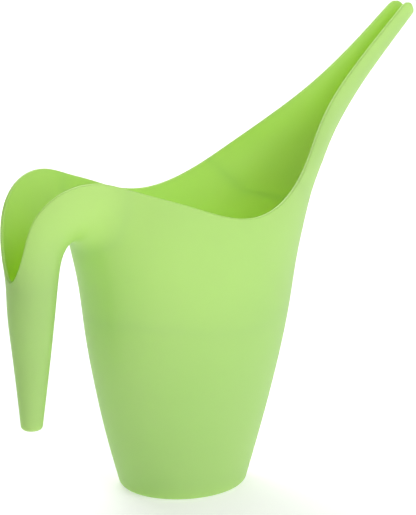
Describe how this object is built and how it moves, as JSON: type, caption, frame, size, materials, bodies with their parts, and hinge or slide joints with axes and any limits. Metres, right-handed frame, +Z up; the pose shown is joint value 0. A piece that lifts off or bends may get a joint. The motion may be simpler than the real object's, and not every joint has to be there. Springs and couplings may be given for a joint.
{
  "type": "watering can",
  "caption": "One-piece oval watering can with an open channel spout and an open arched handle ending in a free hanging leg.",
  "frame": {"origin": "centre of the foot, on the floor", "axes": "+X towards the spout, +Z up, the handle at -X, symmetric about the XZ plane"},
  "size_m": [0.3599, 0.1243, 0.3198],
  "materials": {
    "body": "satin light green polypropylene"
  },
  "bodies": {
    "root": {"vessel_base": "body", "vessel_wall": "body", "vessel_mouth": "body", "spout": "body", "handle_arch": "body", "handle_leg": "body"}
  },
  "joints": []
}
